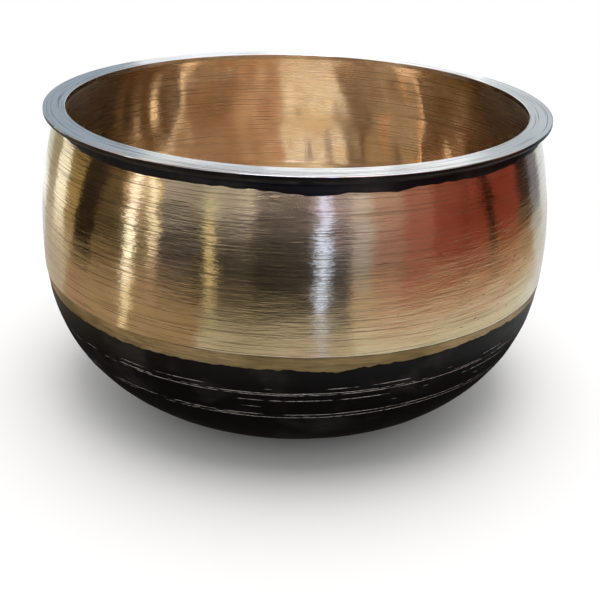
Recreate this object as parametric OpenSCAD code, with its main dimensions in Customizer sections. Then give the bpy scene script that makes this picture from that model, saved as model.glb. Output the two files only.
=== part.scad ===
// Brass urli: a deep open bowl with a turned wall, a blackened base pan and a flat rim.
// Every piece is turned about +Z. The origin is the middle of the foot, on the surface it stands on.

/* [Mouth] */
// Inside diameter at the mouth
mouth_d = 219; // [170:1:280]
// Width of the flat rim, from the mouth's edge outwards
rim_land = 10.5; // [8:0.5:16]
// Thickness of the rim
rim_t = 2.4; // [2:0.1:4]
// Bevel under the rim's outer edge
rim_bevel = 0.9; // [0.3:0.1:1.5]

/* [Body] */
// Height of the belly, the widest part, above the foot
belly_h = 82; // [66:1:100]
// Height of the rim's top above the belly
shoulder_h = 64; // [52:1:80]
// How far the belly stands out past the neck, on each side
belly_bulge = 10; // [7:0.5:13]
// Diameter of the flat foot
foot_d = 104; // [84:1:126]
// Thickness of the wall
wall_t = 4.2; // [3.4:0.1:5.2]

/* [Seam between wall and pan] */
// Height of the seam above the foot
seam_h = 71; // [58:1:90]
// How far the pan's outside lies inside the wall's
seam_step = 1; // [0.8:0.1:1.3]
// Height of the pan's tongue inside the wall
lap_h = 7; // [4:0.5:10]
// Thickness of the pan's tongue
lap_t = 1.8; // [1.4:0.1:2.2]
// Clearance around the pan's tongue
lap_clear = 0.05; // [0.02:0.01:0.1]
// Height of the braze band below the seam
braze_h = 6; // [3:0.1:8]
// How far the braze lies inside the wall's outside
braze_inset = 0.3; // [0.1:0.05:0.4]

/* [Joint between wall and rim] */
// Height of the tongue on top of the wall
tongue_h = 1; // [0.6:0.1:1.4]
// Thickness of the tongue on top of the wall
tongue_t = 1.6; // [1:0.1:2.2]
// Clearance around the tongue on top of the wall
tongue_clear = 0.05; // [0.02:0.01:0.1]
// Leg of the braze fillet under the rim
fillet_leg = 2.4; // [1.5:0.1:3.2]

/* [Blacking] */
// Thickness of the blacking
black_t = 0.5; // [0.4:0.05:0.6]
// Height of the black band below the braze fillet
neck_black_h = 4; // [2:0.5:10]
// Width of a scribed line through the blacking
scribe_w = 0.5; // [0.3:0.1:0.8]
// How far each scribed line lies below the seam
scribe_drop = [16.3, 18.7, 22.1, 31.4, 32.6]; // [10:0.1:45]

/* [Hidden] */
$fn = 256;
// Length by which a cutting shape runs past what it cuts
past = 1;

// Heights
rim_top = belly_h + shoulder_h;
rim_under = rim_top - rim_t;
fillet_foot = rim_under - fillet_leg;
neck_black_foot = fillet_foot - neck_black_h;
lap_top = seam_h + lap_h;
braze_foot = seam_h - braze_h;

// The wall's outside is one arc whose centre is level with the belly and which passes through the neck.
neck_rise = rim_under - belly_h;
wall_arc = (neck_rise ^ 2 + belly_bulge ^ 2) / (2 * belly_bulge);
mouth_r = mouth_d / 2;
rim_r = mouth_r + rim_land;
neck_t = chord(wall_arc, neck_rise) - chord(wall_arc - wall_t, neck_rise);
neck_r = mouth_r + neck_t;
wall_centre = [neck_r + belly_bulge - wall_arc, belly_h];

// The pan's arc lies flat on the ground at the foot's edge and runs smoothly into the wall's arc.
foot_r = foot_d / 2;
reach = foot_r - wall_centre.x;
pan_arc = (wall_arc ^ 2 - reach ^ 2 - belly_h ^ 2) / (2 * (wall_arc - belly_h));
pan_centre = [foot_r, pan_arc];
join_angle = atan2(pan_centre.y - wall_centre.y, pan_centre.x - wall_centre.x);
join_z = wall_centre.y + wall_arc * sin(join_angle);

// Depths below the body's outside
black_depth = seam_step - black_t;
skirt_depth = wall_t - lap_t - lap_clear;

// Half of a circle's chord at a height above its centre
function chord(r, rise) = sqrt(r ^ 2 - rise ^ 2);

// Radius of the body at a height, at a depth below its outside
function body_r(z, depth) = z > join_z
    ? wall_centre.x + chord(wall_arc - depth, z - wall_centre.y)
    : pan_centre.x + chord(pan_arc - depth, z - pan_centre.y);

// Piece of cake from one angle to another, wide enough for a circle of radius r
module sector(r, angle_from, angle_to) {
    middle = (angle_from + angle_to) / 2;
    rays = [for (a = [angle_from, middle, angle_to]) 2 * r * [cos(a), sin(a)]];
    polygon(concat([[0, 0]], rays));
}

// Band between two depths along one arc
module arc_band(centre, arc_r, depth_from, depth_to, angle_from, angle_to) {
    translate(centre)
        intersection() {
            difference() {
                circle(arc_r - depth_from);
                circle(arc_r - depth_to);
            }
            sector(arc_r, angle_from, angle_to);
        }
}

// Half section of the body between two depths below its outside and between two heights
module skin(depth_from, depth_to, z_from, z_to) {
    intersection() {
        union() {
            arc_band(wall_centre, wall_arc, depth_from, depth_to, join_angle, 90);
            arc_band(pan_centre, pan_arc, depth_from, depth_to, -90, join_angle);
        }
        translate([0, z_from])
            square([2 * rim_r, z_to - z_from]);
    }
}

// Tongue on top of the wall, or with a clearance the groove that takes it
module rim_tongue(clear) {
    middle = mouth_r + neck_t / 2;
    translate([middle - tongue_t / 2 - clear, rim_under - past])
        square([tongue_t + 2 * clear, past + tongue_h + clear]);
}

// Flat rim, bevelled under its outer edge and grooved for the wall's tongue
module rim_ring() {
    color("silver")
        rotate_extrude()
            difference() {
                polygon([
                    [mouth_r, rim_under],
                    [rim_r - rim_bevel, rim_under],
                    [rim_r, rim_under + rim_bevel],
                    [rim_r, rim_top],
                    [mouth_r, rim_top]
                ]);
                rim_tongue(tongue_clear);
            }
}

// Turned wall from the seam to the rim, hollowed at its foot to lap over the pan's tongue
module side_wall() {
    color("darkkhaki")
        rotate_extrude()
            union() {
                difference() {
                    skin(0, wall_t, seam_h, rim_under);
                    skin(skirt_depth, wall_t + past, seam_h - past, lap_top + lap_clear);
                }
                rim_tongue(0);
            }
}

// Round pan with a flat foot, thinned at its top into the tongue inside the wall
module base_pan() {
    color("darkgoldenrod")
        rotate_extrude()
            union() {
                difference() {
                    skin(seam_step, wall_t, 0, lap_top);
                    skin(-past, wall_t - lap_t, seam_h, lap_top + past);
                }
                square([foot_r, wall_t]);
            }
}

// Braze fillet in the corner under the rim
module rim_braze() {
    color("dimgray")
        rotate_extrude()
            difference() {
                polygon([
                    [neck_r - past, rim_under],
                    [neck_r - past, fillet_foot],
                    [body_r(fillet_foot, -black_t), fillet_foot],
                    [body_r(fillet_foot, -fillet_leg), rim_under]
                ]);
                skin(0, wall_t, fillet_foot - past, rim_under + past);
            }
}

// Scraped braze band on the pan, just below the wall's lower edge
module seam_braze() {
    color("olive")
        rotate_extrude()
            skin(braze_inset, seam_step, braze_foot, seam_h);
}

// Black band left on the neck
module neck_blacking() {
    color("black")
        rotate_extrude()
            skin(-black_t, 0, neck_black_foot, fillet_foot);
}

// Blacking on the pan, from the braze to the foot, cut through by the scribed lines
module base_blacking() {
    color("black")
        rotate_extrude()
            difference() {
                skin(black_depth, seam_step, 0, braze_foot);
                for (drop = scribe_drop)
                    translate([0, seam_h - drop - scribe_w / 2])
                        square([2 * rim_r, scribe_w]);
            }
}

rim_ring();
side_wall();
base_pan();
rim_braze();
seam_braze();
neck_blacking();
base_blacking();
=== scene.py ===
# Brass urli bowl. Every piece is a numpy surface worked out in millimetres and put into its mesh in metres.
import bpy
import numpy as np
from mathutils import Matrix


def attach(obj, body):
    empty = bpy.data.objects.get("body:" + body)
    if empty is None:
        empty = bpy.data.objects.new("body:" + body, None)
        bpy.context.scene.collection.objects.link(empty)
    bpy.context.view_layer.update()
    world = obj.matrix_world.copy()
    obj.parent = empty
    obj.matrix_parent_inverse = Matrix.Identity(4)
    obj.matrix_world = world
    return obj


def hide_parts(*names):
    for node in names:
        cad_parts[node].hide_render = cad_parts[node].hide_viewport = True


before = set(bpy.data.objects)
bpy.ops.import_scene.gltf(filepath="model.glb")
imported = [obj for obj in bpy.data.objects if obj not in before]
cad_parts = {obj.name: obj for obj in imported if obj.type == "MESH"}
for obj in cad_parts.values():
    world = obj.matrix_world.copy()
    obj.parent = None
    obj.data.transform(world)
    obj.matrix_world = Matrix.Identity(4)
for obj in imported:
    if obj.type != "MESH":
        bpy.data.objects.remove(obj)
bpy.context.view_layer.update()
scene = bpy.context.scene
scene.view_settings.view_transform = "Standard"
mm = 0.001
sharpFrom = 50        # degrees between two faces, past which their edge stays sharp

# The bowl's own sizes in mm, as the frame was made
bowl = dict(
    mouth=109.5,      # inside radius at the mouth
    rim=120.0,        # outside radius of the rim
    rimTop=146.0,
    rimUnder=143.6,
    belly=82.0,       # height of the widest part
    bulge=10.0,       # belly past neck
    foot=52.0,        # radius of the flat foot
    wall=4.2,         # wall thickness
    seam=71.0,        # height of the wall's lower edge
    step=1.0,         # pan outside, below the wall outside
    lap=78.0,         # top of the pan's tongue
    lapThick=1.8,
    tongue=1.6,       # thickness of the tongue on top of the wall
    tongueHeight=1.0,
    clear=0.05,       # gap round both tongues
)

# Two arcs make the body: the wall's, with its centre level with the belly, and the pan's, which lies
# level at the foot's edge
neckRise = bowl["rimUnder"] - bowl["belly"]
wallArc = (neckRise ** 2 + bowl["bulge"] ** 2) / (2 * bowl["bulge"])
neckThick = np.sqrt(wallArc ** 2 - neckRise ** 2) - np.sqrt((wallArc - bowl["wall"]) ** 2 - neckRise ** 2)
neck = bowl["mouth"] + neckThick
wallMiddle = neck + bowl["bulge"] - wallArc
reach = bowl["foot"] - wallMiddle
panArc = (wallArc ** 2 - reach ** 2 - bowl["belly"] ** 2) / (2 * (wallArc - bowl["belly"]))
joinAngle = np.arctan2(panArc - bowl["belly"], reach)
joinHeight = bowl["belly"] + wallArc * np.sin(joinAngle)


# Radius of the body at a height: half chord of the wall's arc above the join and of the pan's arc below it
def bodyRadius(z, depth):
    upper = np.sqrt(np.maximum((wallArc - depth) ** 2 - (z - bowl["belly"]) ** 2, 0))
    lower = np.sqrt(np.maximum((panArc - depth) ** 2 - (z - panArc) ** 2, 0))
    return np.where(z > joinHeight, wallMiddle + upper, bowl["foot"] + lower)


# Uneven hand work, about 1 at its usual height: cosine waves, a whole number of them round the bowl
def handWork(angle, z, seed, waves, mostRound, span):
    rng = np.random.default_rng(seed)
    around = rng.integers(1, mostRound + 1, waves)[:, None, None]
    upright = (rng.normal(0, 1, waves) * 2 * np.pi / span)[:, None, None]
    phase = rng.uniform(0, 2 * np.pi, waves)[:, None, None]
    size = rng.normal(0, 1, waves) / np.sqrt(waves / 2)
    return np.tensordot(size, np.cos(around * angle + upright * z + phase), 1)


# Angles round the bowl, from the front (-Y) towards +X
def anglesRound(count):
    return np.linspace(0, 2 * np.pi, count, endpoint=False)


# Half section with rounded corners: each corner becomes a short parabola from one side to the other
def roundedSection(corners, rounding, steps):
    corner = np.array(corners, float)
    size = np.broadcast_to(np.array(rounding, float), len(corner))[:, None]
    before = np.roll(corner, 1, 0) - corner
    after = np.roll(corner, -1, 0) - corner
    start = corner + before / np.linalg.norm(before, axis=1)[:, None] * size
    end = corner + after / np.linalg.norm(after, axis=1)[:, None] * size
    t = np.linspace(0, 1, steps)[None, :, None]
    curve = (1 - t) ** 2 * start[:, None] + 2 * t * (1 - t) * corner[:, None] + t ** 2 * end[:, None]
    return curve.reshape(-1, 2)


# Points set along a closed section at an even spacing, keeping the section's own points
def fillSection(section, spacing):
    loop = np.vstack([section, section[:1]])
    length = np.concatenate([[0], np.cumsum(np.linalg.norm(np.diff(loop, axis=0), axis=1))])
    even = np.arange(0, length[-1], spacing)
    at = np.unique(np.round(np.concatenate([length[:-1], even]), 3))
    at = at[np.concatenate([[True], np.diff(at) > 0.02])]
    return np.interp(at, length, loop[:, 0]), np.interp(at, length, loop[:, 1])


def addObject(name, data):
    thing = bpy.data.objects.new(name, data)
    scene.collection.objects.link(thing)
    return thing


# Turned piece: each row is a ring with x = r sin(angle), y = -r cos(angle). The rows run
# counter-clockwise round the half section, so faces point outwards. A loop joins the last ring to the
# first; otherwise both ends close on the axis. Marks are values at the points, and pick is the number of
# each row's material.
def turnedPiece(name, node, r, z, loop=True, marks=None, materials=(), pick=None):
    rows, columns = r.shape
    angle = anglesRound(columns)[None, :]
    points = np.stack([r * np.sin(angle), -r * np.cos(angle), z], -1).reshape(-1, 3)
    lastRow = rows if loop else rows - 1
    i, j = np.meshgrid(np.arange(lastRow), np.arange(columns), indexing="ij")
    up, on = (i + 1) % rows, (j + 1) % columns
    quads = np.stack([i * columns + j, i * columns + on, up * columns + on, up * columns + j], -1)
    quads = quads.reshape(-1, 4)
    fans = np.zeros((0, 3), int)
    if not loop:
        points = np.vstack([points, [[0, 0, z[0].mean()], [0, 0, z[-1].mean()]]])
        ring, onward = np.arange(columns), (np.arange(columns) + 1) % columns
        lastRing = (rows - 1) * columns
        firstPole, lastPole = rows * columns, rows * columns + 1
        closeFirst = np.stack([onward, ring, np.full(columns, firstPole)], -1)
        closeLast = np.stack([lastRing + ring, lastRing + onward, np.full(columns, lastPole)], -1)
        fans = np.vstack([closeFirst, closeLast])
    mesh = bpy.data.meshes.new(name)
    mesh.vertices.add(len(points))
    mesh.vertices.foreach_set("co", (points * mm).ravel())
    mesh.loops.add(quads.size + fans.size)
    mesh.loops.foreach_set("vertex_index", np.concatenate([quads.ravel(), fans.ravel()]))
    mesh.polygons.add(len(quads) + len(fans))
    starts = np.concatenate([np.arange(len(quads)) * 4, quads.size + np.arange(len(fans)) * 3])
    mesh.polygons.foreach_set("loop_start", starts)
    mesh.polygons.foreach_set("use_smooth", np.ones(len(starts), bool))
    for material in materials:
        mesh.materials.append(material)
    if pick is not None:
        quadPick = np.repeat(pick[:lastRow], columns)
        fanPick = np.zeros(0, int) if loop else np.repeat([pick[0], pick[-1]], columns)
        mesh.polygons.foreach_set("material_index", np.concatenate([quadPick, fanPick]))
    # distance along the section, for patterns that run in rings
    step = np.hypot(np.diff(r.mean(1)), np.diff(z.mean(1)))
    rings = np.repeat(np.concatenate([[0], np.cumsum(step)]) * mm, columns)
    for mark, values in dict(marks or {}, ring=rings).items():
        flat = np.ravel(values)
        flat = np.concatenate([flat, np.full(len(points) - len(flat), flat[-1])])
        mesh.attributes.new(mark, "FLOAT", "POINT").data.foreach_set("value", flat.astype(np.float32))
    mesh.update(calc_edges=True)
    mesh.validate()
    mesh.set_sharp_from_angle(angle=np.radians(sharpFrom))
    piece = addObject(name, mesh)
    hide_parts(node)
    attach(piece, "root")
    print(f"{name}: {rows} rings of {columns} points")
    return piece


# sRGB hex to the linear colour that a socket takes
def toLinear(hexColour):
    part = np.array([int(hexColour[k:k + 2], 16) for k in (1, 3, 5)]) / 255
    linear = np.where(part <= 0.04045, part / 12.92, ((part + 0.055) / 1.055) ** 2.4)
    return (*linear.tolist(), 1.0)


# Adds a node: settings by name, inputs as values or as sockets to link, stops for a colour ramp
def addNode(tree, kind, inputs=None, stops=None, **settings):
    node = tree.nodes.new("ShaderNode" + kind)
    for key, value in settings.items():
        setattr(node, key, value)
    for key, value in (inputs or {}).items():
        if isinstance(value, bpy.types.NodeSocket):
            tree.links.new(value, node.inputs[key])
        else:
            node.inputs[key].default_value = value
    for k, (place, colour) in enumerate(stops or []):
        stop = node.color_ramp.elements[k] if k < 2 else node.color_ramp.elements.new(place)
        stop.position = place
        stop.color = toLinear(colour) if isinstance(colour, str) else (colour, colour, colour, 1)
    return node


def newMaterial(name):
    material = bpy.data.materials.new(name)
    material.use_nodes = True
    material.node_tree.nodes.clear()
    return material, material.node_tree


# Two coordinates for patterns: plain ones, and ones with the length along the section for z, which follow
# the rings
def patternPlaces(tree):
    place = addNode(tree, "TexCoord").outputs["Object"]
    ring = addNode(tree, "Attribute", attribute_name="ring").outputs["Fac"]
    apart = addNode(tree, "SeparateXYZ", {"Vector": place})
    along = addNode(tree, "CombineXYZ", {"X": apart.outputs["X"], "Y": apart.outputs["Y"], "Z": ring})
    return place, along.outputs[0]


# Brass turned on a hand lathe: broken rings of two sizes, dark dirt left in the deepest, tone drifting
# from patch to patch, a few pits. On the wall the same dark also paints shade along the lower edge, and a
# pale highlight is painted along that edge. Reflections stay sharp round the bowl and smear up and down
# across the rings. Real rings lie closer than a render shows, so the finest are drawn about half a
# millimetre high.
def turnedBrass(name, look):
    material, tree = newMaterial(name)
    place, along = patternPlaces(tree)
    long = 1000 / look["lineLength"]
    fine = addNode(tree, "Mapping", {"Vector": along, "Scale": (long, long, 1000 / look["lineHeight"])})
    fineNoise = addNode(tree, "TexNoise", {"Vector": fine.outputs[0], "Scale": 1, "Detail": 3,
                                           "Roughness": 0.55})
    broad = addNode(tree, "Mapping", {"Vector": along, "Location": (3, 7, 1),
                                      "Scale": (long * 1.7, long * 1.7, 1000 / look["bandHeight"])})
    broadNoise = addNode(tree, "TexNoise", {"Vector": broad.outputs[0], "Scale": 1, "Detail": 2})
    lines = addNode(tree, "ValToRGB", {"Fac": fineNoise.outputs["Fac"]},
                    stops=[(look["lineFrom"] - look["lineSoft"], 1.0), (look["lineFrom"], 0.0)])
    patch = addNode(tree, "TexNoise", {"Vector": place, "Scale": 1000 / look["patch"], "Detail": 3})
    tone = addNode(tree, "ValToRGB", {"Fac": patch.outputs["Fac"]},
                   stops=[(0.34, look["deep"]), (0.52, look["pale"]), (0.68, look["warm"])])
    band = addNode(tree, "MapRange", {"Value": broadNoise.outputs["Fac"], "From Min": 0.3, "From Max": 0.7,
                                      "To Min": look["bandShade"], "To Max": 0.0})
    banded = addNode(tree, "MixRGB", {"Fac": band.outputs[0], "Color1": tone.outputs[0],
                                      "Color2": toLinear(look["deep"])})
    # rubbed places keep little of the dirt
    worn = addNode(tree, "Attribute", attribute_name="worn").outputs["Fac"]
    stays = addNode(tree, "MapRange", {"Value": worn, "To Min": look["lineShade"],
                                       "To Max": look["lineShade"] * 0.3})
    lineShade = addNode(tree, "Math", {0: lines.outputs[0], 1: stays.outputs[0]}, operation="MULTIPLY")
    lined = addNode(tree, "MixRGB", {"Fac": lineShade.outputs[0], "Color1": banded.outputs[0],
                                     "Color2": toLinear(look["dirtAndShade"])})
    # the deepest grooves come and go along their length; on the wall the mark also holds
    # painted shade at the lower edge
    groove = addNode(tree, "Attribute", attribute_name="groove").outputs["Fac"]
    dashLong = 1000 / look["dashLength"]
    dash = addNode(tree, "Mapping", {"Vector": along,
                                     "Scale": (dashLong, dashLong, 1000 / look["dashHeight"])})
    dashNoise = addNode(tree, "TexNoise", {"Vector": dash.outputs[0], "Scale": 1, "Detail": 2})
    broken = addNode(tree, "MapRange", {"Value": dashNoise.outputs["Fac"], "From Min": 0.36, "From Max": 0.6})
    kept = addNode(tree, "Math", {0: groove, 1: broken.outputs[0]}, operation="MULTIPLY")
    grooved = addNode(tree, "MixRGB", {"Fac": kept.outputs[0], "Color1": lined.outputs[0],
                                       "Color2": toLinear(look["dirtAndShade"])})
    # a pale highlight painted along the wall's lower edge
    edgeHighlight = addNode(tree, "Attribute", attribute_name="edgeHighlight").outputs["Fac"]
    edged = addNode(tree, "MixRGB", {"Fac": edgeHighlight, "Color1": grooved.outputs[0],
                                     "Color2": toLinear(look["edgeHighlighted"])})
    # pits are drawn out along the rings; they gather where a wide noise is high and where the metal is worn
    pitLong = 350 / look["pit"]
    fleck = addNode(tree, "Mapping", {"Vector": along, "Scale": (pitLong, pitLong, 1000 / look["pit"])})
    speck = addNode(tree, "TexNoise", {"Vector": fleck.outputs[0], "Scale": 1, "Detail": 1})
    crowd = addNode(tree, "TexNoise", {"Vector": place, "Scale": 1000 / look["pitCrowd"], "Detail": 1})
    crowded = addNode(tree, "Math", {0: crowd.outputs["Fac"], 1: 0.25, 2: speck.outputs["Fac"]},
                      operation="MULTIPLY_ADD")
    both = addNode(tree, "Math", {0: worn, 1: 0.08, 2: crowded.outputs[0]}, operation="MULTIPLY_ADD")
    pits = addNode(tree, "MapRange", {"Value": both.outputs[0], "From Min": look["pitFrom"],
                                      "From Max": look["pitFrom"] + 0.05, "To Max": 0.9})
    colour = addNode(tree, "MixRGB", {"Fac": pits.outputs[0], "Color1": edged.outputs[0],
                                      "Color2": toLinear(look["dirtAndShade"])})
    dull = addNode(tree, "Math", {0: patch.outputs["Fac"], 1: 0.12, 2: look["roughness"] - 0.06},
                   operation="MULTIPLY_ADD")
    # scuffed rings are duller, so they stand out pale where the bowl mirrors something dark
    scuffs = addNode(tree, "ValToRGB", {"Fac": fineNoise.outputs["Fac"]}, stops=[(0.56, 0.0), (0.66, 1.0)])
    scuffed = addNode(tree, "Math", {0: scuffs.outputs[0], 1: look["scuff"], 2: dull.outputs[0]},
                      operation="MULTIPLY_ADD")
    rough = addNode(tree, "Math", {0: lines.outputs[0], 1: 0.1, 2: scuffed.outputs[0]},
                    operation="MULTIPLY_ADD")
    relief = addNode(tree, "Math", {0: broadNoise.outputs["Fac"], 1: 0.8, 2: fineNoise.outputs["Fac"]},
                     operation="MULTIPLY_ADD")
    # the tool chatters: short ripples that make the edge of every reflection jagged
    rippleLong = 1000 / look["rippleLength"]
    ripple = addNode(tree, "Mapping", {"Vector": along,
                                       "Scale": (rippleLong, rippleLong, 1000 / look["rippleHeight"])})
    rippleNoise = addNode(tree, "TexNoise", {"Vector": ripple.outputs[0], "Scale": 1, "Detail": 1})
    height = addNode(tree, "Math", {0: rippleNoise.outputs["Fac"], 1: look["ripple"], 2: relief.outputs[0]},
                     operation="MULTIPLY_ADD")
    bump = addNode(tree, "Bump", {"Height": height.outputs[0], "Strength": look["bump"], "Distance": 0.0001})
    around = addNode(tree, "Tangent", direction_type="RADIAL", axis="Z")
    shader = addNode(tree, "BsdfPrincipled", {
        "Base Color": colour.outputs[0], "Metallic": 1.0, "Roughness": rough.outputs[0],
        "Anisotropic": look["smear"], "Anisotropic Rotation": 0.25,
        "Normal": bump.outputs[0], "Tangent": around.outputs[0]})
    addNode(tree, "OutputMaterial", {"Surface": shader.outputs[0]})
    return material


# Lengths, heights, patch, pit and pitCrowd are in mm, and a From is the noise level where lines or pits start
# On the wall the pale burnished colour is a painted highlight, and the dirt colour also paints shade at the
# lower edge
wallLook = dict(pale="#d2c09a", deep="#b9a87e", warm="#d6b998", dirtAndShade="#2a2016", edgeHighlighted="#efe4cc",
                roughness=0.16, smear=0.92, lineLength=60, lineHeight=0.5, lineFrom=0.45, lineSoft=0.09,
                lineShade=0.55, bandHeight=2.6, bandShade=0.3, dashLength=4, dashHeight=0.45, patch=46,
                pit=0.8, pitFrom=0.94, pitCrowd=34, bump=0.4, ripple=1.5, rippleLength=3.5, rippleHeight=0.65,
                scuff=0.05)
insideLook = dict(wallLook, pale="#e8dac2", deep="#d8c2a0", warm="#e2c8a6", dirtAndShade="#6a4c30", roughness=0.22,
                  lineShade=0.35, patch=30, bump=0.3, ripple=0.4, smear=1.0)
panLook = dict(insideLook, roughness=0.12, pale="#e2d4ba", deep="#d4be9a", warm="#dcc6a4")
rimLook = dict(wallLook, pale="#e8e7e4", deep="#cecdcb", warm="#e8e6e0", dirtAndShade="#34383a", roughness=0.1,
               lineShade=0.8, lineLength=50, lineHeight=0.55, bandHeight=1.8, patch=60, pitFrom=1.0,
               bump=0.35, ripple=0.3, scuff=0.04, smear=0.5)
footLook = dict(wallLook, pale="#8d7650", deep="#5c4a30", warm="#7a6241", dirtAndShade="#1e1812", roughness=0.42,
                lineFrom=0.5, lineShade=0.8, bump=0.5, smear=0.2)
outsideBrass = turnedBrass("brass, turned outside", wallLook)
insideBrass = turnedBrass("brass, scoured inside", insideLook)
panBrass = turnedBrass("brass, scoured floor", panLook)
rimBrass = turnedBrass("brass, faced rim", rimLook)
footBrass = turnedBrass("brass, worn foot", footLook)


# Black bituminous blacking, brushed on and half gloss: near black with a brown cast, dusty and duller in
# patches, brushed in rings. Where a scriber has cut through, the bare metal under it shows silvery.
def blackCoat(name, look):
    material, tree = newMaterial(name)
    place, along = patternPlaces(tree)
    scratch = addNode(tree, "Attribute", attribute_name="scratch").outputs["Fac"]
    brushLong = 1000 / look["brushLength"]
    brush = addNode(tree, "Mapping", {"Vector": along, "Scale": (brushLong, brushLong, 1000 / look["brush"])})
    brushNoise = addNode(tree, "TexNoise", {"Vector": brush.outputs[0], "Scale": 1, "Detail": 3})
    patch = addNode(tree, "TexNoise", {"Vector": place, "Scale": 1000 / look["patch"], "Detail": 5,
                                       "Roughness": 0.6})
    grain = addNode(tree, "TexNoise", {"Vector": place, "Scale": 1000 / look["grain"], "Detail": 2})
    tone = addNode(tree, "ValToRGB", {"Fac": patch.outputs["Fac"]},
                   stops=[(0.35, look["black"]), (0.52, look["brown"]), (0.68, look["dust"])])
    brushed = addNode(tree, "ValToRGB", {"Fac": brushNoise.outputs["Fac"]}, stops=[(0.4, 0.75), (0.65, 1.0)])
    coat = addNode(tree, "MixRGB", {"Fac": 1.0, "Color1": tone.outputs[0], "Color2": brushed.outputs[0]},
                   blend_type="MULTIPLY")
    # the scriber skips: noise drawn out along the rings breaks each cut into dashes of its own
    dashLong = 1000 / look["dashLength"]
    dash = addNode(tree, "Mapping", {"Vector": along,
                                     "Scale": (dashLong, dashLong, 1000 / look["dashHeight"])})
    dashNoise = addNode(tree, "TexNoise", {"Vector": dash.outputs[0], "Scale": 1, "Detail": 2})
    skip = addNode(tree, "Math", {0: dashNoise.outputs["Fac"], 1: 2.0, 2: -0.28}, operation="MULTIPLY_ADD")
    left = addNode(tree, "Math", {0: scratch, 1: skip.outputs[0]}, operation="MULTIPLY")
    cut = addNode(tree, "ValToRGB", {"Fac": left.outputs[0]}, stops=[(0.14, 0.0), (0.6, 1.0)])
    colour = addNode(tree, "MixRGB", {"Fac": cut.outputs[0], "Color1": coat.outputs[0],
                                      "Color2": toLinear(look["bare"])})
    dull = addNode(tree, "Math", {0: patch.outputs["Fac"], 1: 0.3, 2: look["roughness"] - 0.15},
                   operation="MULTIPLY_ADD")
    relief = addNode(tree, "Math", {0: brushNoise.outputs["Fac"], 1: 0.6, 2: grain.outputs["Fac"]},
                     operation="MULTIPLY_ADD")
    bump = addNode(tree, "Bump", {"Height": relief.outputs[0], "Strength": 0.35, "Distance": 0.00012})
    # the cuts are rough inside, so they catch light from all sides as well as mirroring it
    bright = addNode(tree, "Math", {0: cut.outputs[0], 1: 0.45}, operation="MULTIPLY")
    shader = addNode(tree, "BsdfPrincipled", {
        "Base Color": colour.outputs[0], "Metallic": bright.outputs[0], "Roughness": dull.outputs[0],
        "Specular IOR Level": look["gloss"], "Normal": bump.outputs[0]})
    addNode(tree, "OutputMaterial", {"Surface": shader.outputs[0]})
    return material


coatLook = dict(black="#080707", brown="#0c0a09", dust="#25221f", bare="#c4bfb6", roughness=0.42, gloss=0.12,
                brush=1.4, brushLength=45, patch=30, grain=0.9, dashLength=1.8, dashHeight=0.5)
blacking = blackCoat("bitumen blacking, brushed", coatLook)


# Hard braze scraped level by hand: dull olive, short scrape marks along the seam, dark flux left in hollows
def scrapedBraze(name, look):
    material, tree = newMaterial(name)
    place = addNode(tree, "TexCoord").outputs["Object"]
    markLong = 1000 / look["markLength"]
    marks = addNode(tree, "Mapping", {"Vector": place, "Scale": (markLong, markLong, 1000 / look["mark"])})
    markNoise = addNode(tree, "TexNoise", {"Vector": marks.outputs[0], "Scale": 1, "Detail": 4})
    patch = addNode(tree, "TexNoise", {"Vector": place, "Scale": 1000 / look["patch"], "Detail": 4})
    tone = addNode(tree, "ValToRGB", {"Fac": patch.outputs["Fac"]},
                   stops=[(0.32, look["dark"]), (0.5, look["middle"]), (0.66, look["pale"])])
    scraped = addNode(tree, "ValToRGB", {"Fac": markNoise.outputs["Fac"]}, stops=[(0.34, 0.66), (0.58, 1.0)])
    colour = addNode(tree, "MixRGB", {"Fac": 1.0, "Color1": tone.outputs[0], "Color2": scraped.outputs[0]},
                     blend_type="MULTIPLY")
    rough = addNode(tree, "Math", {0: markNoise.outputs["Fac"], 1: 0.3, 2: look["roughness"] - 0.15},
                    operation="MULTIPLY_ADD")
    bump = addNode(tree, "Bump", {"Height": markNoise.outputs["Fac"], "Strength": 0.5, "Distance": 0.0002})
    shader = addNode(tree, "BsdfPrincipled", {
        "Base Color": colour.outputs[0], "Metallic": look["metal"], "Roughness": rough.outputs[0],
        "Normal": bump.outputs[0]})
    addNode(tree, "OutputMaterial", {"Surface": shader.outputs[0]})
    return material


oliveLook = dict(dark="#7c683f", middle="#907b50", pale="#a48c64", roughness=0.5, metal=0.6, mark=0.9,
                 markLength=9, patch=26)
# the fillet's near black is partly painted shade in the corner under the rim
darkLook = dict(oliveLook, dark="#0e0c0a", middle="#181410", pale="#2a231a", roughness=0.55, metal=0.2,
                mark=1.2, patch=5)
oliveBraze = scrapedBraze("braze, scraped and dull", oliveLook)
darkBraze = scrapedBraze("braze, blackened, with painted shade", darkLook)
print("materials made")

# Rim: a flat ring with a soft outer edge, turned rings on its top, its overhang a little out of true
rimPiece = dict(columns=440, spacing=0.17, bevel=0.9, edge=0.35, toolDepth=0.013, toolSpacing=1.1,
                outOfTrue=0.3, outOfFlat=0.22, coatBelow=0.45)


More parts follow.
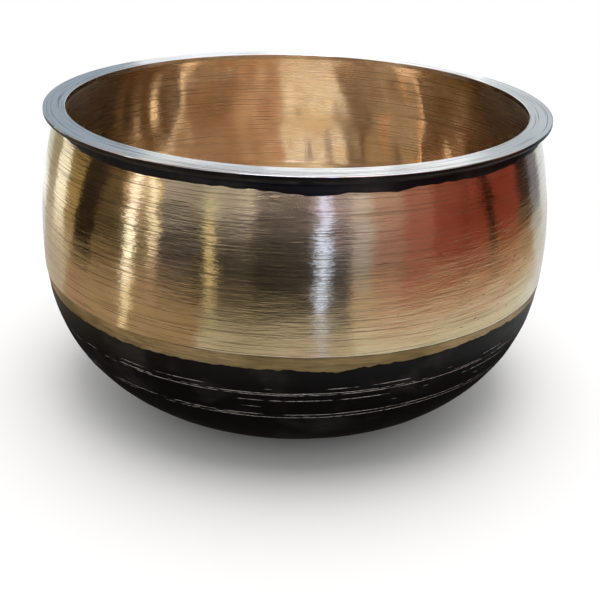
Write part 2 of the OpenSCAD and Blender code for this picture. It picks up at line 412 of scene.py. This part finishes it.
def makeRim(look):
    top, under, out = bowl["rimTop"], bowl["rimUnder"], bowl["rim"]
    middle = bowl["mouth"] + neckThick / 2
    half = bowl["tongue"] / 2 + bowl["clear"]
    roof = under + bowl["tongueHeight"] + bowl["clear"]
    corners = [(bowl["mouth"], under), (middle - half, under), (middle - half, roof), (middle + half, roof),
               (middle + half, under), (out - look["bevel"], under), (out, under + look["bevel"]), (out, top),
               (bowl["mouth"], top)]
    rounding = [0.1, 0.05, 0.05, 0.05, 0.05, 0.3, 0.3, look["edge"], 0.3]
    r, z = fillSection(roundedSection(corners, rounding, steps=6), look["spacing"])
    angle = anglesRound(look["columns"])[None, :]
    r, z = r[:, None] + 0 * angle, z[:, None] + 0 * angle
    # only the overhang leaves the true circle
    hang = np.clip((r - neck) / (out - neck), 0, 1)
    untrue = handWork(angle, 0 * r, seed=11, waves=9, mostRound=7, span=50)
    unflat = handWork(angle, 0 * r, seed=12, waves=9, mostRound=6, span=50)
    r = r - look["outOfTrue"] * hang * (0.5 + 0.5 * untrue)
    z = z - look["outOfFlat"] * hang * (0.5 + 0.5 * unflat)
    # the tool has marked the top face alone
    onTop = np.clip((z - (top - 0.8)) / 0.4, 0, 1)
    tool = handWork(0.4 * np.cos(angle) + 0 * r, r, seed=13, waves=40, mostRound=2, span=look["toolSpacing"])
    z = z - look["toolDepth"] * onTop * (1 + tool).clip(0, 3)
    # the coat runs on under the overhang and up its outer face; this black is partly painted shade under the
    # rim
    pick = np.where((z.mean(1) < top - look["coatBelow"]) & (r.mean(1) > neck), 1, 0)
    z = np.minimum(z, top)
    return turnedPiece("rimRing", "rim_ring", r, z, materials=[rimBrass, blacking], pick=pick)


makeRim(rimPiece)

# Wall: the outer face carries the turning lines, the inner face the dents of hand work. Places round the
# bowl are in degrees from the front: the strong lines lie on the left, the lower edge's roll and its painted
# highlight and shade are strongest at the front, and the right side is worn.
wallPiece = dict(columns=288, rowHeight=0.3, innerRow=1.0, wobble=0.1, chatter=0.012, dent=0.26, lines=560,
                 lineDepth=0.04, gatherAt=108, gatherSpread=7, strongHeight=[91.2, 88.4, 86.3],
                 strongShown=[0.95, 0.7, 0.85], strongAt=[-27, -26, -25], strongHalf=[11, 10, 9],
                 rollAndEdgeLightAt=18, rollAndEdgeLightHalf=30, wornAt=65)


# How far the wall's outside stands off its true arc
def wallWobble(angle, z):
    wide = handWork(angle, z, seed=21, waves=26, mostRound=12, span=70)
    close = handWork(angle, z, seed=22, waves=26, mostRound=30, span=26)
    return wallPiece["wobble"] * (wide + 0.35 * close)


# Turning lines: each is a row of the grid and an arc round the bowl. One matrix holds which row a line
# marks, the other how strongly it shows at each angle; their product is the mark at every point. Half of
# the lines lie anywhere on the wall and half gather at one height.
def turningLines(angle, z, look):
    rng = np.random.default_rng(23)
    count = look["lines"]
    low, high = z[0] + 2, z[-1] - 4
    anywhere = rng.uniform(low, high, count // 2)
    gathered = rng.normal(look["gatherAt"], look["gatherSpread"], count - count // 2)
    height = np.concatenate([anywhere, gathered]).clip(low, high)
    strength = 1.1 * rng.uniform(0.2, 1, count) ** 2
    middle = rng.uniform(0, 2 * np.pi, count)
    half = np.radians(rng.uniform(2, 30, count))
    # the strongest three stop short on the front left
    height = np.concatenate([height, look["strongHeight"]])
    height = z[np.argmin(np.abs(z[:, None] - height), 0)]
    strength = np.concatenate([strength, look["strongShown"]])
    middle = np.concatenate([middle, np.radians(look["strongAt"])])
    half = np.concatenate([half, np.radians(look["strongHalf"])])
    rowOfLine = np.exp(-((z[:, None] - height) / rng.uniform(0.1, 0.24, len(height))) ** 2)
    away = np.abs((angle[None, :] - middle[:, None] + np.pi) % (2 * np.pi) - np.pi)
    pulses = rng.integers(7, 40, len(height))[:, None]
    faint = 0.65 + 0.35 * np.cos(angle[None, :] * pulses + height[:, None])
    shown = strength[:, None] * np.clip((half[:, None] - away) / np.radians(1.5), 0, 1) * faint
    # worn away more on the right
    shown = shown * (0.62 - 0.42 * np.sin(angle)).clip(0.18, 1)
    return np.clip(rowOfLine @ shown, 0, 1)


def makeWall(look):
    angle = anglesRound(look["columns"])
    seam, under, lap = bowl["seam"], bowl["rimUnder"], bowl["lap"] + bowl["clear"]
    outerZ = np.linspace(seam, under, int(round((under - seam) / look["rowHeight"])) + 1)
    innerZ = np.linspace(under, lap, int((under - lap) / look["innerRow"]) + 1)
    middle = bowl["mouth"] + neckThick / 2
    half, roof = bowl["tongue"] / 2, under + bowl["tongueHeight"]
    skirt = bowl["wall"] - bowl["lapThick"] - bowl["clear"]
    skirtZ = np.array([lap, (lap + seam) / 2, seam])
    lines = turningLines(angle, outerZ, look)
    # the lower edge is rolled in a little, and a pale highlight is painted along it; both are uneven and
    # strongest at the front
    uneven = handWork(angle[None, :], 0 * lines, seed=24, waves=24, mostRound=60, span=9)
    near = np.cos(angle - np.radians(look["rollAndEdgeLightAt"])) - np.cos(np.radians(look["rollAndEdgeLightHalf"]))
    rollAndEdgeLight = np.clip(0.5 + 2.2 * near, 0.08, 1)[None, :]
    roll = np.exp(-(outerZ - seam) / 0.22)[:, None] * (0.3 + 0.12 * uneven) * rollAndEdgeLight
    edgeHighlight = np.exp(-((outerZ[:, None] - seam - 0.35 - 0.15 * uneven) / 0.5) ** 2)
    edgeHighlight = edgeHighlight * rollAndEdgeLight * (0.7 + 0.35 * uneven).clip(0, 1)
    # a dark line above it, and below it painted shade in the gap to the braze, both strongest at the front
    above = np.exp(-((outerZ[:, None] - seam - 1.25 - 0.2 * uneven) / 0.22) ** 2) * 0.55
    below = (outerZ < seam + 0.1)[:, None]
    dirtAndShade = (above + below) * rollAndEdgeLight * (0.6 + 0.4 * uneven).clip(0, 1)
    lines = np.clip(lines + dirtAndShade, 0, 1)
    outerR = bodyRadius(outerZ, 0)[:, None] + wallWobble(angle[None, :], outerZ[:, None] + 0 * lines)
    chatter = handWork(angle[None, :], outerZ[:, None] + 0 * lines, seed=26, waves=70, mostRound=50, span=2.6)
    outerR = outerR - look["lineDepth"] * lines - roll.clip(0, 0.6)
    outerR = outerR - look["chatter"] * (chatter + 1.5).clip(0, 3)
    tongue = np.array([[middle + half, under], [middle + half, roof], [middle - half, roof],
                       [middle - half, under]])
    innerR = bodyRadius(innerZ, bowl["wall"])[:, None] + 0 * angle
    fade = np.clip((under - innerZ) / 6, 0, 1) * np.clip((innerZ - lap) / 2, 0, 1)
    level = innerZ[:, None] + 0 * innerR
    dents = handWork(angle[None, :], level, seed=425, waves=30, mostRound=26, span=60)
    facets = handWork(angle[None, :], level, seed=427, waves=40, mostRound=64, span=45)
    innerR = innerR + look["dent"] * fade[:, None] * (dents + 0.25 * facets)
    skirtR = bodyRadius(skirtZ, skirt)[:, None] + 0 * angle
    r = np.vstack([outerR, tongue[:, :1] + 0 * angle, innerR, skirtR])
    z = np.concatenate([outerZ, tongue[:, 1], innerZ, skirtZ])[:, None] + 0 * angle
    groove = np.vstack([lines, np.zeros((len(r) - len(lines), look["columns"]))])
    bright = np.vstack([edgeHighlight, np.zeros((len(r) - len(edgeHighlight), look["columns"]))])
    # the right side has been rubbed smoother
    worn = np.zeros(r.shape)
    worn[:len(outerZ)] = np.clip(2.2 * (np.cos(angle - np.radians(look["wornAt"])) - 0.5), 0, 1)
    pick = np.where(np.arange(len(r)) < len(outerZ) + 1, 0, 1)
    return turnedPiece("sideWall", "side_wall", r, z, materials=[outsideBrass, insideBrass],
                       marks=dict(groove=groove, edgeHighlight=bright, worn=worn), pick=pick)


makeWall(wallPiece)

# Pan: the bowl's floor and lower inside, its outside lying under the coat, and the flat foot. The floor
# is plain out to the radius plainTo, and the dents grow from there. The innermost ring has the radius hub.
panPiece = dict(columns=300, dent=0.2, plainTo=34, dentGrow=40, hub=3, footRows=24, outerRows=40,
                upperRows=14, innerRows=110, floorRows=36)


def makePan(look):
    angle = anglesRound(look["columns"])
    foot, wall, lap, seam = bowl["foot"], bowl["wall"], bowl["lap"], bowl["seam"]
    tongueFace = wall - bowl["lapThick"]
    # outside, from the foot's middle out and up; a quarter turn of the pan's arc starts flat at the
    # foot's edge
    footR = np.linspace(look["hub"], foot, look["footRows"])
    quarter = np.linspace(0, np.arccos(1 - seam / panArc), look["outerRows"])
    outZ = panArc - (panArc - bowl["step"]) * np.cos(quarter)
    outZ = outZ[outZ < seam]
    outR = bodyRadius(outZ, bowl["step"])
    tongueZ = np.array([seam, lap])
    # inside, from the tongue's top down and in to the middle of the floor
    innerTurn = np.linspace(np.arccos((panArc - joinHeight) / (panArc - wall)), 0, look["innerRows"])
    upperZ = np.linspace(lap, joinHeight + 0.6, look["upperRows"])
    inZ = np.concatenate([upperZ, panArc - (panArc - wall) * np.cos(innerTurn)])
    inR = bodyRadius(inZ, wall)
    floorR = np.linspace(foot, look["hub"], look["floorRows"])[1:]
    r = np.concatenate([footR, [foot], outR, bodyRadius(np.array([seam]), bowl["step"]),
                        bodyRadius(tongueZ, tongueFace), inR, floorR])
    z = np.concatenate([0 * footR, [0.5], outZ, [seam], tongueZ, inZ, wall + 0 * floorR])
    r, z = r[:, None] + 0 * angle, z[:, None] + 0 * angle
    # the row where the inside starts, past the foot, the outside and the tongue
    start = len(footR) + 1 + len(outZ) + 3
    inner = np.arange(len(r)) >= start
    fade = np.clip((lap - z) / 8, 0, 1) * np.clip((r - look["plainTo"]) / look["dentGrow"], 0, 1)
    fade = fade * inner[:, None]
    # the dents' waves run round the bowl and out from a point above the foot's edge
    length = np.hypot(r - foot, z - 60)
    dents = look["dent"] * fade * handWork(angle[None, :], length, seed=31, waves=30, mostRound=16, span=50)
    # a dent lifts the floor and pushes the side outwards
    slope = np.clip((r - foot) / 60, 0, 1)
    r = r + dents * slope
    z = z + dents * (1 - slope)
    pick = np.where(np.arange(len(r)) < start - 4, 1, 0)
    return turnedPiece("basePan", "base_pan", r, z, loop=False,
                       materials=[panBrass, footBrass], pick=pick)


makePan(panPiece)

# Dark fillet of braze in the corner under the rim, hollow and lumpy; its near black is partly painted shade
filletPiece = dict(columns=360, rows=9, leg=2.4, toe=0.5, lump=0.28)


def makeFillet(look):
    angle = anglesRound(look["columns"])[None, :]
    foot = bowl["rimUnder"] - look["leg"]
    t = np.linspace(0, 1, look["rows"])[:, None]
    z = foot + look["leg"] * t + 0 * angle
    face = bodyRadius(z, 0) + look["toe"] + (look["leg"] - look["toe"]) * t ** 1.8
    lumps = handWork(angle, z, seed=41, waves=30, mostRound=60, span=8)
    face = face + look["lump"] * np.minimum(t, 1 - t) * 2 * lumps
    back = bodyRadius(z, 0)
    r, z = np.vstack([face, back[::-1]]), np.vstack([z, z[::-1]])
    return turnedPiece("rimBraze", "rim_braze", r, z, materials=[darkBraze])


makeFillet(filletPiece)

# Scraped braze below the wall's edge: a thin band that thins out and runs on under the coat
brazePiece = dict(columns=480, rows=30, foot=63.2, inset=0.3, footDepth=0.8, uneven=0.05)


# Depth of the braze below the body's outside: it comes up from its foot to full thickness, then lies level
def brazeDepth(angle, z, look=brazePiece):
    rise = (z - look["foot"]) / (bowl["seam"] - look["foot"])
    depth = look["footDepth"] - (look["footDepth"] - look["inset"]) * np.clip(rise * 1.7, 0, 1)
    bumps = handWork(angle, z, seed=51, waves=40, mostRound=70, span=7)
    bumps = look["uneven"] * bumps * np.clip(rise * 4, 0, 1)
    return (depth + bumps).clip(0.12, 0.95)


def makeBraze(look):
    angle = anglesRound(look["columns"])[None, :]
    z = np.linspace(look["foot"], bowl["seam"], look["rows"])[:, None] + 0 * angle
    face = bodyRadius(z, brazeDepth(angle, z))
    back = bodyRadius(z, bowl["step"])
    r, z = np.vstack([face, back[::-1]]), np.vstack([z, z[::-1]])
    return turnedPiece("seamBraze", "seam_braze", r, z, materials=[oliveBraze])


makeBraze(brazePiece)

# Black band on the neck, partly blacking and partly painted shade under the rim. Its lower edge is ragged:
# heights in mm by angle from the front, with finer unevenness. Its back lies bedded under the wall's face.
neckPiece = dict(columns=720, rows=16, thick=0.22, least=0.03, bedded=0.25, rag=0.12,
                 edgeAngle=[-100, -75, -62, -50, -35, -19, -7, -2, 5, 10, 20, 24, 31, 41, 60, 90, 150, 205],
                 edgeHeight=[138.5, 140.9, 140.7, 138.8, 138.0, 138.4, 138.5, 137.7, 136.7, 137.9, 137.3,
                             138.4, 138.5, 137.9, 138.6, 137.5, 138.4, 137.4])


def makeNeckBand(look):
    angle = anglesRound(look["columns"])[None, :]
    top = bowl["rimUnder"] - filletPiece["leg"]
    edge = np.interp(angle, np.radians(look["edgeAngle"]), look["edgeHeight"], period=2 * np.pi)
    edge = edge + look["rag"] * handWork(angle, 0 * angle, seed=61, waves=40, mostRound=120, span=9)
    t = np.linspace(0, 1, look["rows"])[:, None]
    z = edge + (top - edge) * t
    thick = look["thick"] * np.minimum(1, 0.1 + 3 * t) + look["least"]
    face = bodyRadius(z, 0) + wallWobble(angle, z) + thick
    back = bodyRadius(z, look["bedded"]) + wallWobble(angle, z)
    r, z = np.vstack([face, back[::-1]]), np.vstack([z, z[::-1]])
    return turnedPiece("neckBlackingAndShade", "neck_blacking", r, z, marks=dict(scratch=0 * r),
                       materials=[blacking])


makeNeckBand(neckPiece)

# Coat on the base: ragged top edge over the braze, rings scribed through it in broken strokes. The rings
# lean: each row of points near them is lifted with the angle, so that a line always lies along its own
# rows. Hardly a line is left at the angle fadeAt.
coatPiece = dict(columns=640, rag=0.19, thick=0.5, lump=0.04, over=0.12, cut=0.2, lineHalf=0.21, lowRows=26,
                 plainRows=32, plainTop=62.4, topRows=9, backRows=12, backFoot=1.0, leanFrom=26,
                 fadeAt=300, fadeBy=1.5,
                 edgeAngle=[-120, -60, -56, -52, -44, -36, -24, -12, -4, 1, 3, 5.5, 8, 9.5, 12, 16, 24, 28,
                            36, 44, 52, 70, 150],
                 edgeHeight=[65.6, 64.6, 64.3, 64.4, 64.5, 64.2, 64.5, 64.8, 65.1, 65.0, 64.4, 64.3, 64.0,
                             63.4, 65.3, 65.7, 66.0, 66.6, 67.3, 67.8, 67.6, 65.6, 64.4],
                 leanAngle=[-130, -60, -32, 0, 24, 45, 80, 150],
                 leanBy=[-0.3, -0.9, -0.7, 0, 1.3, 1.9, 1.4, 0.3],
                 lineHeight=[54.9, 52.6, 51.7, 48.5, 44.5, 39.6, 38.6, 37.7],
                 lineShown=[0.42, 0.82, 0.72, 0.4, 0.1, 1.0, 0.25, 1.05])


# How much of the coat the scriber has cut away: for each line a ridge across its rows, times how well the
# stroke shows at each angle. Long breaks and short ones come from two scales of hand work.
def scribedLines(angle, rows, look):
    height = np.array(look["lineHeight"])[:, None]
    breaks = handWork(angle, height * 9 + 0 * angle, seed=73, waves=60, mostRound=36, span=7)
    breaks = breaks + 0.45 * handWork(angle, height * 31, seed=76, waves=60, mostRound=140, span=7)
    breaks = breaks - look["fadeBy"] * np.exp(-((angle - np.radians(look["fadeAt"])) / 0.6) ** 2)
    shown = np.clip((breaks + 3 * (np.array(look["lineShown"])[:, None] - 0.5)) * 0.6 + 0.5, 0, 1)
    ridge = np.clip(1 - np.abs(rows[:, None] - height[:, 0]) / look["lineHalf"], 0, 1)
    return np.clip(ridge @ shown, 0, 1)


def makeCoat(look):
    angle = anglesRound(look["columns"])[None, :]
    edge = np.interp(angle, np.radians(look["edgeAngle"]), look["edgeHeight"], period=2 * np.pi)
    rag = handWork(angle, 0 * angle, seed=74, waves=50, mostRound=110, span=9)
    rag = rag + handWork(angle, 0 * angle, seed=77, waves=70, mostRound=300, span=9)
    edge = edge + look["rag"] * rag
    lean = np.interp(angle, np.radians(look["leanAngle"]), look["leanBy"], period=2 * np.pi)
    # rows lie close together only where a line is scribed
    arc = panArc - (bowl["step"] - look["thick"])
    low = panArc - arc * np.cos(np.linspace(0, 1.0, look["lowRows"]))
    plain = np.linspace(low[-1] + 0.9, look["plainTop"], look["plainRows"])
    lined = (np.array(look["lineHeight"])[:, None] + look["lineHalf"] * np.linspace(-1, 1, 5)).ravel()
    rows = np.sort(np.concatenate([low, plain, lined]))
    rows = rows[np.concatenate([[True], np.diff(rows) > 0.04])]
    # the lean dies away below the lines and above them
    follow = np.clip((rows - look["leanFrom"]) / 8, 0, 1) * np.clip((look["plainTop"] - rows) / 5, 0, 1)
    z = rows[:, None] + lean * follow[:, None]
    cut = scribedLines(angle, rows, look)
    rise = np.linspace(0, 1, look["topRows"] + 1)[1:, None]
    z = np.vstack([z, z[-1] + (edge - z[-1]) * rise])
    cut = np.vstack([cut, np.zeros((look["topRows"], look["columns"]))])
    # full thickness low down; near the edge a thin layer over the braze, thinning out to nothing
    onBraze = brazeDepth(angle, z) - look["over"] * np.clip((edge - z) / 0.5, 0.1, 1)
    lumps = handWork(angle, z, seed=75, waves=40, mostRound=40, span=16)
    depth = np.minimum(bowl["step"] - look["thick"] + look["lump"] * lumps, onBraze)
    face = bodyRadius(z, (depth + look["cut"] * cut).clip(0.05, 0.97))
    shareUp = np.linspace(1, 0, look["backRows"])[:, None] ** 2
    backZ = shareUp * (z[-1] - look["backFoot"]) + look["backFoot"]
    back = bodyRadius(backZ, bowl["step"])
    r, z = np.vstack([face, back]), np.vstack([z, backZ])
    scratch = np.vstack([cut, 0 * back])
    return turnedPiece("baseBlacking", "base_blacking", r, z, marks=dict(scratch=scratch),
                       materials=[blacking])


makeCoat(coatPiece)

# Camera at the photograph's viewing angle
view = dict(place=(0, -0.4771, 0.2602), pitch=24.79, yaw=0.468, roll=1.77, lens=60, sensor=36)


def makeCamera(look):
    data = bpy.data.cameras.new("camera")
    data.lens = look["lens"]
    data.sensor_width = look["sensor"]
    data.clip_start = 0.01
    camera = addObject("camera", data)
    yaw, pitch, roll = np.radians([look["yaw"], look["pitch"], look["roll"]])
    camera.matrix_world = (Matrix.Translation(look["place"]) @ Matrix.Rotation(-yaw, 4, "Z")
                           @ Matrix.Rotation(np.pi / 2 - pitch, 4, "X") @ Matrix.Rotation(roll, 4, "Z"))
    scene.camera = camera


makeCamera(view)

# Studio: white floor that keeps the shadow and fades to plain white far out, a softbox overhead, and
# cards round the bowl that show only in its metal
studio = dict(floor="#f6f5f4", floorHalf=6.0, fadeFrom=0.09, fadeTo=0.27, worldFill=0.8,
              softbox=10.0, softboxSize=(0.8, 1.3), softboxPlace=(0.04, -0.05, 1.25))


# 1 for what the camera sees, straight on or in a reflection, and 0 for the light that falls on matt things
def seenByCamera(tree):
    path = addNode(tree, "LightPath")
    seen = addNode(tree, "Math", {0: path.outputs["Is Camera Ray"], 1: path.outputs["Is Glossy Ray"]},
                   operation="MAXIMUM")
    seen = addNode(tree, "Math", {0: seen.outputs[0], 1: path.outputs["Is Transmission Ray"]},
                   operation="MAXIMUM")
    return seen.outputs[0]


def makeFloor(look):
    half = look["floorHalf"]
    corners = [(-half, -half, 0), (half, -half, 0), (half, half, 0), (-half, half, 0)]
    mesh = bpy.data.meshes.new("floor")
    mesh.from_pydata(corners, [], [(0, 1, 2, 3)])
    material, tree = newMaterial("studio floor, matt white")
    place = addNode(tree, "TexCoord").outputs["Object"]
    far = addNode(tree, "VectorMath", {0: place}, operation="LENGTH").outputs["Value"]
    fade = addNode(tree, "MapRange", {"Value": far, "From Min": look["fadeFrom"], "From Max": look["fadeTo"]},
                   interpolation_type="SMOOTHSTEP")
    white = addNode(tree, "Math", {0: fade.outputs[0], 1: seenByCamera(tree)}, operation="MULTIPLY")
    matt = addNode(tree, "BsdfDiffuse", {"Color": toLinear(look["floor"])})
    glow = addNode(tree, "Emission", {"Color": (1, 1, 1, 1), "Strength": 1.0})
    mix = addNode(tree, "MixShader", {0: white.outputs[0], 1: matt.outputs[0], 2: glow.outputs[0]})
    addNode(tree, "OutputMaterial", {"Surface": mix.outputs[0]})
    mesh.materials.append(material)
    floor = addObject("floor", mesh)


def makeWorld(look):
    world = bpy.data.worlds.new("white studio")
    scene.world = world
    world.use_nodes = True
    tree = world.node_tree
    tree.nodes.clear()
    strength = addNode(tree, "MapRange", {"Value": seenByCamera(tree), "To Min": look["worldFill"],
                                          "To Max": 1.0})
    back = addNode(tree, "Background", {"Color": (1, 1, 1, 1), "Strength": strength.outputs[0]})
    addNode(tree, "OutputWorld", {"Surface": back.outputs[0]})


def makeSoftbox(look):
    data = bpy.data.lights.new("softbox", "AREA")
    data.shape = "RECTANGLE"
    data.size, data.size_y = look["softboxSize"]
    data.energy = look["softbox"]
    lamp = addObject("softbox", data)
    lamp.location = look["softboxPlace"]


# Cards lie on the floor round the bowl, stand in a drum about it, or hang over it. start and end are
# degrees from the front towards +X, and lean turns a card's outer or top edge further round. A floor card
# is dark close to the bowl, a painted shadow of the bowl, then has its own colour, and the colour far at its
# outer edge.
drum = dict(radius=0.4, tall=0.34, inner=0.03, front=0.008, flagHeight=0.8, offFloor=0.0004, columns=25,
            ramp=0.4, rise=0.15, turn=0.31, shadowNearBowl="#3a3632")
floorCards = [
    dict(name="floorFarLeft", start=-128, end=-97, colour="#d4cabe"),
    dict(name="floorLeft", start=-97, end=-30, colour="#bea890", far="#b49e88"),
    dict(name="floorMiddle", start=-30, end=20, colour="#e8e4de", far="#6c645c"),
    dict(name="floorRight", start=20, end=112, colour="#f6feff", far="#ceb094"),
    dict(name="floorBack", start=112, end=232, colour="#e8eaee"),
]
# A standing card has the floor's tone at its foot, its own colour from rise to turn and the colour top
# above them; rise and turn are heights as shares of the ramp
standingCards = [
    dict(name="paleLeft", start=-128, end=-114, colour="#beb49c", top="#181410"),
    dict(name="windowLeft", start=-114, end=-102, colour="#ffffff", top="#221a18", strength=1.7),
    dict(name="goldLeft", start=-102, end=-84, colour="#c4ac7c", top="#181210"),
    dict(name="brownFarLeft", start=-84, end=-67, colour="#5e5240", top="#78684e", turn=0.25),
    dict(name="brownLeft", start=-67, end=-50, colour="#6e604a", top="#e8d2b0", turn=0.25),
    dict(name="greyLeft", start=-50, end=-14, colour="#3a3a48", top="#d2cede", rise=0.06),
    dict(name="darkMiddle", start=-14, end=6, colour="#181a28", top="#584e62", rise=0.03),
    dict(name="darkRight", start=6, end=20, colour="#34384a", top="#b6b8dc", rise=0.03),
    dict(name="paleRight", start=20, end=28, colour="#a8aac0", top="#e6e4fa"),
    dict(name="pinkRight", start=28, end=40, colour="#9c7678", top="#d0b0b4"),
    dict(name="clay", start=40, end=98, colour="#94423b", top="#9c524c", rise=0.1),
    dict(name="darkFarRight", start=98, end=110, colour="#3c2826", top="#1c1618"),
    dict(name="greyRight", start=110, end=122, colour="#8c90a8", top="#2c2420"),
    dict(name="paleFarRight", start=122, end=142, colour="#e4f0ff", top="#141010", strength=1.2),
    dict(name="backRight", start=142, end=157, colour="#d4d6d8", top="#949a9e", turn=0.42, strength=2.0),
    dict(name="backPale", start=157, end=168, colour="#d4d6d8", top="#c8cacc", turn=0.53, strength=2.0),
    dict(name="backMiddle", start=168, end=184, colour="#ccd0d4", top="#eceef0", turn=0.53, strength=2.0),
    dict(name="backLeft", start=184, end=200, colour="#c8ccd0", top="#b4b8bc", turn=0.5, strength=2.0),
    dict(name="backFarLeft", start=200, end=232, colour="#a4a69e", top="#757f89", turn=0.38, strength=2.0),
]
# Strips stand in front of the cards, from the height low to the height high in metres. The two transoms
# stand above the cards, and the far inside mirrors them.
strips = [
    dict(name="darkLeft", start=-95, end=-83, lean=17, colour="#332a25", top="#4a4038"),
    dict(name="stripGold", start=-66, end=-62, lean=6, colour="#f6f8ff", strength=2.5),
    dict(name="stripCream", start=-53, end=-49.5, lean=-7, low=0.075, colour="#fbf8f4", strength=2.0),
    dict(name="transom", start=-23, end=8, low=0.34, high=0.52, colour="#f4f6ff", strength=11),
    dict(name="transomRight", start=8, end=36, low=0.34, high=0.52, colour="#ffbc8c", strength=4),
    dict(name="stripWide", start=-34, end=-26, colour="#3a3636", top="#e0e4f2"),
    dict(name="stripThin", start=-28.4, end=-26.0, lean=-3, colour="#fff0d4", high=0.17, strength=1.5),
    dict(name="stripWhite", start=7, end=10.5, lean=4, colour="#a8c0ff", strength=3.2),
    dict(name="clayPale", start=38, end=50, lean=3, colour="#a6645f", top="#b87c76"),
    dict(name="clayFold", start=63, end=65, lean=5, colour="#74362f"),
    dict(name="clayGap", start=79, end=83.5, lean=-7, low=0.03, high=0.23, colour="#12050a"),
]
floorStrips = [
    dict(name="floorGold", start=-23.5, end=-20.5, lean=-40, colour="#fff2d8", strength=1.2),
    dict(name="floorWhite", start=1.5, end=3.5, lean=8, colour="#ccd4f0", strength=1.2),
]
# Over the bowl, in metres across and from front to back: the far inside mirrors the back half, its lowest
# part the front half. A card with a drop hangs lower than the rest.
overhead = [
    dict(name="roofFarLeft", start=-1.8, end=-0.75, depth=[-1.8, 0.95], colour="#241a18"),
    dict(name="roofLeft", start=-0.75, end=-0.22, depth=[-1.8, 0.95], colour="#ffd8c4", strength=1.1),
    dict(name="skylight", start=-0.22, end=0.34, depth=[0.02, 0.95], colour="#f4f6ff", strength=1.6),
    dict(name="skyWindow", start=0.09, end=0.33, depth=[0.14, 0.48], drop=0.01, colour="#d4e2ff",
         strength=4.5),
    dict(name="roofFront", start=-0.22, end=0.34, depth=[-1.8, 0.02], colour="#c8b4a8"),
    dict(name="roofRight", start=0.34, end=1.4, depth=[-1.8, -0.05], colour="#f0f0f4", strength=1.3),
    dict(name="roofRightBack", start=0.34, end=1.4, depth=[-0.05, 0.95], colour="#5a4638"),
    dict(name="roofFarRight", start=1.4, end=1.8, depth=[-1.8, 0.95], colour="#1c1614"),
    dict(name="roofBack", start=-1.8, end=1.8, depth=[0.95, 1.8], colour="#c0c2c4"),
]


# A card is a strip of faces from one edge to the other, glowing, seen only in reflections
def makeCard(look, kind, foot=None, lift=0):
    flat = kind == "floor"
    columns = drum["columns"]
    along = np.linspace(look["start"], look["end"], columns)
    if kind == "overhead":
        across, back = np.meshgrid(along, look["depth"])
        height = drum["flagHeight"] - look.get("drop", 0)
        points = np.stack([across, back, height + 0 * back], -1)
    else:
        across, up = np.meshgrid(along, [0.0, 1.0])
        angle = np.radians(across + look.get("lean", 0) * up)
        if flat:
            r = drum["inner"] + (drum["radius"] - drum["inner"]) * up
            z = drum["offFloor"] + lift * 0.02 + 0 * up
        else:
            low, high = look.get("low", 0), look.get("high", drum["tall"])
            r = drum["radius"] - lift + 0 * up
            z = drum["offFloor"] + (low + (high - low) * up)
        points = np.stack([r * np.sin(angle), -r * np.cos(angle), z], -1)
    k = np.arange(columns - 1)
    faces = np.stack([k, k + 1, k + columns + 1, k + columns], -1)
    mesh = bpy.data.meshes.new(look["name"])
    mesh.from_pydata(points.reshape(-1, 3).tolist(), [], faces.tolist())
    material, tree = newMaterial("card " + look["name"])
    place = addNode(tree, "TexCoord").outputs["Object"]
    main = look["colour"]
    if flat:
        at = addNode(tree, "VectorMath", {0: place}, operation="LENGTH").outputs["Value"]
        # dark close to the bowl: a painted shadow of the bowl on the floor card
        stops = [(0.38, drum["shadowNearBowl"]), (0.54, main), (0.58, main), (0.88, look.get("far", main))]
    else:
        at = addNode(tree, "SeparateXYZ", {"Vector": place}).outputs["Z"]
        rise, turn = look.get("rise", drum["rise"]), look.get("turn", drum["turn"])
        stops = [(0.0, foot or main), (rise, main), (turn, main), (turn + 0.1, look.get("top", main))]
    share = addNode(tree, "Math", {0: at, 1: drum["ramp"]}, operation="DIVIDE")
    tone = addNode(tree, "ValToRGB", {"Fac": share.outputs[0]}, stops=stops)
    glow = addNode(tree, "Emission", {"Color": tone.outputs[0], "Strength": look.get("strength", 1.0)})
    addNode(tree, "OutputMaterial", {"Surface": glow.outputs[0]})
    mesh.materials.append(material)
    card = addObject(look["name"], mesh)
    card.visible_camera = False
    card.visible_diffuse = False
    card.visible_shadow = False


# Tone of the floor card that lies under a standing card
def floorUnder(look):
    middle = (look["start"] + look["end"]) / 2
    under = [card for card in floorCards if card["start"] <= middle <= card["end"]][0]
    return under.get("far", under["colour"])


makeFloor(studio)
makeWorld(studio)
makeSoftbox(studio)
for card in floorCards:
    makeCard(card, "floor")
for card in standingCards:
    makeCard(card, "standing", foot=floorUnder(card))
for card in strips:
    makeCard(card, "standing", lift=drum["front"])
for card in floorStrips:
    makeCard(card, "floor", lift=drum["front"])
for card in overhead:
    makeCard(card, "overhead")
print("camera, floor, light and cards placed")
